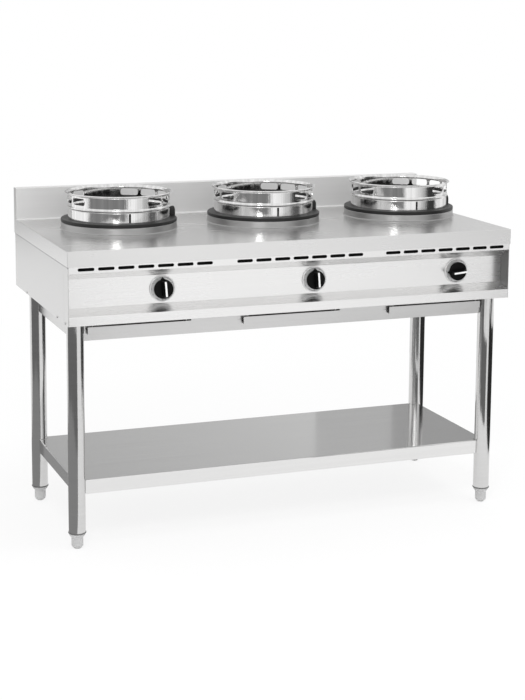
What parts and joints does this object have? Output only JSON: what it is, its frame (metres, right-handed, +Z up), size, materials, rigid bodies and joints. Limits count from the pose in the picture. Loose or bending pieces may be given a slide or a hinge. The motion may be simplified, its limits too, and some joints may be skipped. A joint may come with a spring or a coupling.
{
  "type": "wok range",
  "caption": "Free-standing gas wok range: raised pierced wok rings on a flat top with an upstand, recessed knob panel, drip trays and an undershelf on round legs.",
  "frame": {"origin": "on the floor under the middle of the worktop's rectangle", "axes": "+X to the right as the cook sees it, +Y from the front to the wall, +Z up"},
  "size_m": [1.4, 0.7, 1.001],
  "materials": {
    "worktop_steel": "brushed stainless steel",
    "panel_steel": "bright satin stainless steel",
    "shelf_steel": "bright rolled stainless steel",
    "ring_steel": "mirror polished stainless steel",
    "tube_steel": "polished stainless tube",
    "galvanised_steel": "galvanised, dull",
    "cast_iron": "dark enamelled casting",
    "brass": "machined",
    "knob_plastic": "black, glossy",
    "bezel_metal": "satin silver with plain tick marks",
    "foot_plastic": "moulded grey"
  },
  "bodies": {
    "root": {"worktop": "worktop_steel", "control_panel": "panel_steel", "left_side_panel": "panel_steel", "right_side_panel": "panel_steel", "front_rail": "panel_steel", "rear_rail": "panel_steel", "left_rail": "panel_steel", "right_rail": "panel_steel", "back_panel": "galvanised_steel", "floor_channel_1": "galvanised_steel", "floor_channel_2": "galvanised_steel", "burner_crossbar": "galvanised_steel", "gas_manifold": "galvanised_steel", "undershelf": "shelf_steel", "leg_front_left": "tube_steel", "leg_front_right": "tube_steel", "leg_back_left": "tube_steel", "leg_back_right": "tube_steel", "burner_well_1": "worktop_steel", "burner_body_1": "cast_iron", "pilot_burner_1": "brass", "gas_tap_1": "brass", "dial_bezel_1": "bezel_metal", "burner_well_2": "worktop_steel", "burner_body_2": "cast_iron", "pilot_burner_2": "brass", "gas_tap_2": "brass", "dial_bezel_2": "bezel_metal", "burner_well_3": "worktop_steel", "burner_body_3": "cast_iron", "pilot_burner_3": "brass", "gas_tap_3": "brass", "dial_bezel_3": "bezel_metal"},
    "foot_front_left": {"foot_front_left": "foot_plastic"},
    "foot_front_right": {"foot_front_right": "foot_plastic"},
    "foot_back_left": {"foot_back_left": "foot_plastic"},
    "foot_back_right": {"foot_back_right": "foot_plastic"},
    "stem_1": {"push_stem_1": "brass"},
    "knob_1": {"knob_1": "knob_plastic", "tap_spindle_1": "brass"},
    "tray_1": {"drip_tray_1": "panel_steel"},
    "base_1": {"ring_base_1": "cast_iron"},
    "ring_1": {"wok_ring_1": "ring_steel"},
    "cap_1": {"burner_cap_1": "cast_iron"},
    "stem_2": {"push_stem_2": "brass"},
    "knob_2": {"knob_2": "knob_plastic", "tap_spindle_2": "brass"},
    "tray_2": {"drip_tray_2": "panel_steel"},
    "base_2": {"ring_base_2": "cast_iron"},
    "ring_2": {"wok_ring_2": "ring_steel"},
    "cap_2": {"burner_cap_2": "cast_iron"},
    "stem_3": {"push_stem_3": "brass"},
    "knob_3": {"knob_3": "knob_plastic", "tap_spindle_3": "brass"},
    "tray_3": {"drip_tray_3": "panel_steel"},
    "base_3": {"ring_base_3": "cast_iron"},
    "ring_3": {"wok_ring_3": "ring_steel"},
    "cap_3": {"burner_cap_3": "cast_iron"}
  },
  "joints": [
    {"name": "knob_1_push", "type": "slide", "parent": "root", "child": "stem_1", "axis": [0, 1, 0], "range_m": [0, 0.004], "stiffness_N_per_m": 1200, "springref_m": -0.002},
    {"name": "knob_1_turn", "type": "hinge", "parent": "stem_1", "child": "knob_1", "pos_m": [-0.408, -0.3, 0.759], "axis": [0, -1, 0], "range_deg": [0, 180]},
    {"name": "tray_1_slide", "type": "slide", "parent": "root", "child": "tray_1", "axis": [0, -1, 0], "range_m": [0, 0.4]},
    {"name": "ring_base_1_lift", "type": "slide", "parent": "root", "child": "base_1", "axis": [0, 0, 1], "range_m": [0, 0.15]},
    {"name": "wok_ring_1_lift", "type": "slide", "parent": "base_1", "child": "ring_1", "axis": [0, 0, 1], "range_m": [0, 0.15]},
    {"name": "burner_cap_1_lift", "type": "slide", "parent": "root", "child": "cap_1", "axis": [0, 0, 1], "range_m": [0, 0.25]},
    {"name": "knob_2_push", "type": "slide", "parent": "root", "child": "stem_2", "axis": [0, 1, 0], "range_m": [0, 0.004], "stiffness_N_per_m": 1200, "springref_m": -0.002},
    {"name": "knob_2_turn", "type": "hinge", "parent": "stem_2", "child": "knob_2", "pos_m": [0.066, -0.3, 0.759], "axis": [0, -1, 0], "range_deg": [0, 180]},
    {"name": "tray_2_slide", "type": "slide", "parent": "root", "child": "tray_2", "axis": [0, -1, 0], "range_m": [0, 0.4]},
    {"name": "ring_base_2_lift", "type": "slide", "parent": "root", "child": "base_2", "axis": [0, 0, 1], "range_m": [0, 0.15]},
    {"name": "wok_ring_2_lift", "type": "slide", "parent": "base_2", "child": "ring_2", "axis": [0, 0, 1], "range_m": [0, 0.15]},
    {"name": "burner_cap_2_lift", "type": "slide", "parent": "root", "child": "cap_2", "axis": [0, 0, 1], "range_m": [0, 0.25]},
    {"name": "knob_3_push", "type": "slide", "parent": "root", "child": "stem_3", "axis": [0, 1, 0], "range_m": [0, 0.004], "stiffness_N_per_m": 1200, "springref_m": -0.002},
    {"name": "knob_3_turn", "type": "hinge", "parent": "stem_3", "child": "knob_3", "pos_m": [0.54, -0.3, 0.759], "axis": [0, -1, 0], "range_deg": [-90, 90]},
    {"name": "tray_3_slide", "type": "slide", "parent": "root", "child": "tray_3", "axis": [0, -1, 0], "range_m": [0, 0.4]},
    {"name": "ring_base_3_lift", "type": "slide", "parent": "root", "child": "base_3", "axis": [0, 0, 1], "range_m": [0, 0.15]},
    {"name": "wok_ring_3_lift", "type": "slide", "parent": "base_3", "child": "ring_3", "axis": [0, 0, 1], "range_m": [0, 0.15]},
    {"name": "burner_cap_3_lift", "type": "slide", "parent": "root", "child": "cap_3", "axis": [0, 0, 1], "range_m": [0, 0.25]},
    {"name": "foot_front_left_turn", "type": "hinge", "parent": "root", "child": "foot_front_left", "pos_m": [-0.661, -0.275, 0.04], "axis": [0, 0, 1], "continuous": true},
    {"name": "foot_front_right_turn", "type": "hinge", "parent": "root", "child": "foot_front_right", "pos_m": [0.661, -0.275, 0.04], "axis": [0, 0, 1], "continuous": true},
    {"name": "foot_back_left_turn", "type": "hinge", "parent": "root", "child": "foot_back_left", "pos_m": [-0.661, 0.205, 0.04], "axis": [0, 0, 1], "continuous": true},
    {"name": "foot_back_right_turn", "type": "hinge", "parent": "root", "child": "foot_back_right", "pos_m": [0.661, 0.205, 0.04], "axis": [0, 0, 1], "continuous": true}
  ]
}
